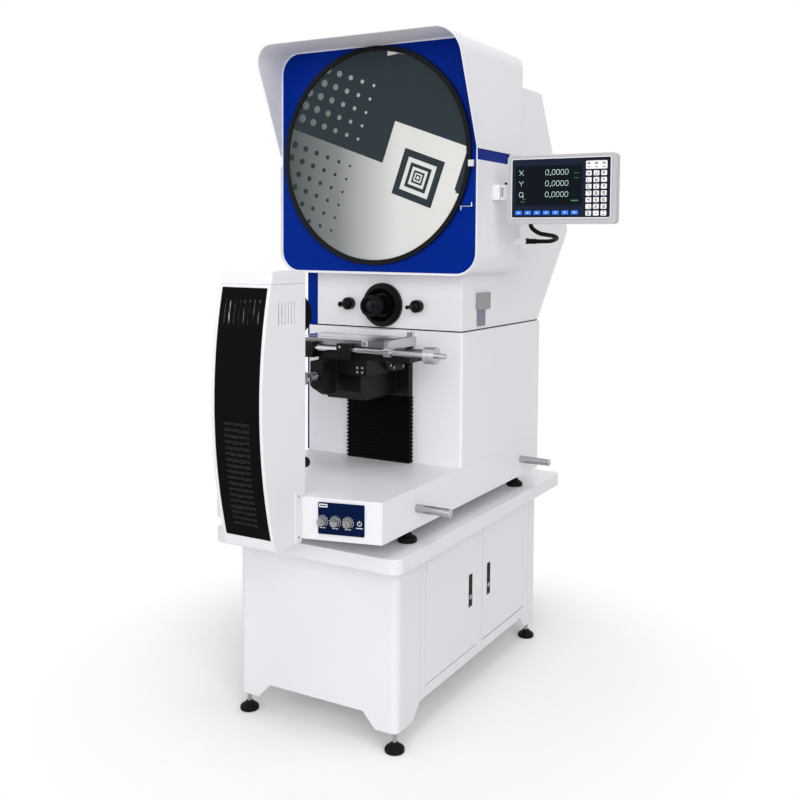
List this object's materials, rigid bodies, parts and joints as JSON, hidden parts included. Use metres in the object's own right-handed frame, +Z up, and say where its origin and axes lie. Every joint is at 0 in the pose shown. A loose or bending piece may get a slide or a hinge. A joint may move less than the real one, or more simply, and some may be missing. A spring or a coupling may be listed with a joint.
{
  "type": "optical comparator",
  "caption": "Horizontal profile projector on a steel cabinet: hooded round screen, folded mirror housing, lamp tower, lifting stage, projection lens, swivel readout and hinged doors.",
  "frame": {"origin": "on the floor, midway between the four cabinet feet", "axes": "+Z up, -Y out of the screen towards the operator, +X to the operator's right; the screen and lens axes lie at X = 0"},
  "size_m": [1.039, 1.458, 1.862],
  "materials": {
    "white_paint": "satin powder coat",
    "blue_paint": "satin enamel",
    "black_metal": "fine-grained satin black",
    "black_rubber": "matt moulded",
    "black_plastic": "matt moulded",
    "bright_steel": "ground and polished",
    "aluminium": "machined",
    "clear_glass": "polished, coated",
    "screen_glass": "ground",
    "mirror": "front silvered",
    "grey_plastic": "fine texture",
    "dark_overlay": "smooth film",
    "navy_panel": "satin"
  },
  "bodies": {
    "machine": {"cabinet_shell": "white_paint", "cabinet_floor": "white_paint", "levelling_pads": "black_rubber", "levelling_studs": "bright_steel", "levelling_nuts": "bright_steel", "door_hinge_pins": "bright_steel", "table_top": "white_paint", "base_housing": "white_paint", "lift_bars": "bright_steel", "control_panel": "navy_panel", "column_cover": "white_paint", "flank_trim": "blue_paint", "lift_guide": "bright_steel", "bellows_lower": "black_rubber", "bellows_upper": "black_rubber", "mirror_housing": "white_paint", "side_plate": "grey_plastic", "lens_mount": "black_metal", "light_sockets": "black_metal", "mirrors": "mirror", "head_frame": "blue_paint", "hood_cover": "white_paint", "lower_cover": "white_paint", "fascia": "blue_paint", "screen_bearing": "bright_steel", "screen_index": "bright_steel", "tower_shell": "white_paint", "tower_front": "black_metal", "tower_cap": "white_paint", "tower_screws": "bright_steel", "lamp_unit": "aluminium", "condenser_barrel": "black_metal", "condenser_glass": "clear_glass", "lamp_knob": "black_plastic", "readout_bracket": "white_paint", "readout_cable": "black_rubber", "cable_connector": "black_plastic"},
    "screen_rotor": {"screen_ring": "black_metal", "screen_glass": "screen_glass"},
    "lens": {"lens_barrel": "black_metal", "lens_glass": "clear_glass"},
    "spot_left": {"spot_light_left": "black_metal"},
    "spot_right": {"spot_light_right": "black_metal"},
    "carriage": {"lift_carriage": "black_metal"},
    "screw": {"lift_screw": "bright_steel"},
    "slide": {"cross_slide": "black_metal"},
    "focus": {"focus_knob": "bright_steel"},
    "table": {"work_table": "aluminium", "table_end_block": "bright_steel"},
    "traverse": {"traverse_rod": "bright_steel"},
    "readout": {"readout_case": "grey_plastic", "readout_overlay": "dark_overlay", "readout_arm": "white_paint"},
    "knob_1": {"panel_knob_1": "aluminium"},
    "knob_2": {"panel_knob_2": "aluminium"},
    "knob_3": {"panel_knob_3": "aluminium"},
    "door_f": {"door_front": "white_paint"},
    "door_r": {"door_rear": "white_paint"},
    "paddle_f": {"latch_front": "black_plastic"},
    "paddle_r": {"latch_rear": "black_plastic"}
  },
  "joints": [
    {"name": "screen_turn", "type": "hinge", "parent": "machine", "child": "screen_rotor", "pos_m": [0, -0.163, 1.548], "axis": [0, -1, 0], "continuous": true},
    {"name": "lens_lock_turn", "type": "hinge", "parent": "machine", "child": "lens", "pos_m": [0, -0.12, 1.125], "axis": [0, -1, 0], "range_deg": [0, 30]},
    {"name": "spot_left_aim", "type": "hinge", "parent": "machine", "child": "spot_left", "pos_m": [-0.115, -0.123, 1.125], "axis": [0, 0, 1], "range_deg": [-20, 20]},
    {"name": "spot_right_aim", "type": "hinge", "parent": "machine", "child": "spot_right", "pos_m": [0.115, -0.123, 1.125], "axis": [0, 0, 1], "range_deg": [-20, 20]},
    {"name": "stage_lift", "type": "slide", "parent": "machine", "child": "carriage", "axis": [0, 0, 1], "range_m": [-0.09, 0.04], "deforming": ["bellows_lower", "bellows_upper"]},
    {"name": "lift_screw_spin", "type": "hinge", "parent": "machine", "child": "screw", "pos_m": [0, -0.103, 0.9], "axis": [0, 0, 1], "range_deg": [-3245, 1445]},
    {"name": "focus_slide", "type": "slide", "parent": "carriage", "child": "slide", "axis": [0, 1, 0], "range_m": [-0.025, 0.025]},
    {"name": "focus_knob_turn", "type": "hinge", "parent": "slide", "child": "focus", "pos_m": [-0.019, -0.42, 0.951], "axis": [0, 1, 0], "range_deg": [-905, 905]},
    {"name": "table_traverse", "type": "slide", "parent": "slide", "child": "table", "axis": [1, 0, 0], "range_m": [-0.09, 0.09]},
    {"name": "traverse_knob_turn", "type": "hinge", "parent": "slide", "child": "traverse", "pos_m": [0.2, -0.364, 1.0193], "axis": [1, 0, 0], "range_deg": [-1300, 1300]},
    {"name": "readout_pan", "type": "hinge", "parent": "machine", "child": "readout", "pos_m": [0.3595, -0.05, 1.445], "axis": [0, 0, 1], "range_deg": [-45, 45], "deforming": ["readout_cable"]},
    {"name": "panel_knob_1_turn", "type": "hinge", "parent": "machine", "child": "knob_1", "pos_m": [0.10945, -0.57586, 0.619], "axis": [0.2346, -0.9721, 0], "range_deg": [-135, 135]},
    {"name": "panel_knob_2_turn", "type": "hinge", "parent": "machine", "child": "knob_2", "pos_m": [0.14182, -0.56804, 0.619], "axis": [0.2346, -0.9721, 0], "range_deg": [-135, 135]},
    {"name": "panel_knob_3_turn", "type": "hinge", "parent": "machine", "child": "knob_3", "pos_m": [0.17419, -0.56023, 0.619], "axis": [0.2346, -0.9721, 0], "range_deg": [-135, 135]},
    {"name": "front_door_hinge", "type": "hinge", "parent": "machine", "child": "door_f", "pos_m": [0.2485, -0.2935, 0.3], "axis": [0, 0, -1], "range_deg": [0, 110]},
    {"name": "rear_door_hinge", "type": "hinge", "parent": "machine", "child": "door_r", "pos_m": [0.2485, 0.3595, 0.3], "axis": [0, 0, 1], "range_deg": [0, 110]},
    {"name": "front_latch_lift", "type": "hinge", "parent": "door_f", "child": "paddle_f", "pos_m": [0.2475, -0.0285, 0.3415], "axis": [0, -1, 0], "range_deg": [0, 35]},
    {"name": "rear_latch_lift", "type": "hinge", "parent": "door_r", "child": "paddle_r", "pos_m": [0.2475, 0.0945, 0.3415], "axis": [0, -1, 0], "range_deg": [0, 35]}
  ],
  "couplings": [
    {"joint": "lift_screw_spin", "follows": "stage_lift", "rad_per_m": 628.32},
    {"joint": "focus_knob_turn", "follows": "focus_slide", "rad_per_m": 628.32},
    {"joint": "traverse_knob_turn", "follows": "table_traverse", "rad_per_m": 251.33}
  ]
}
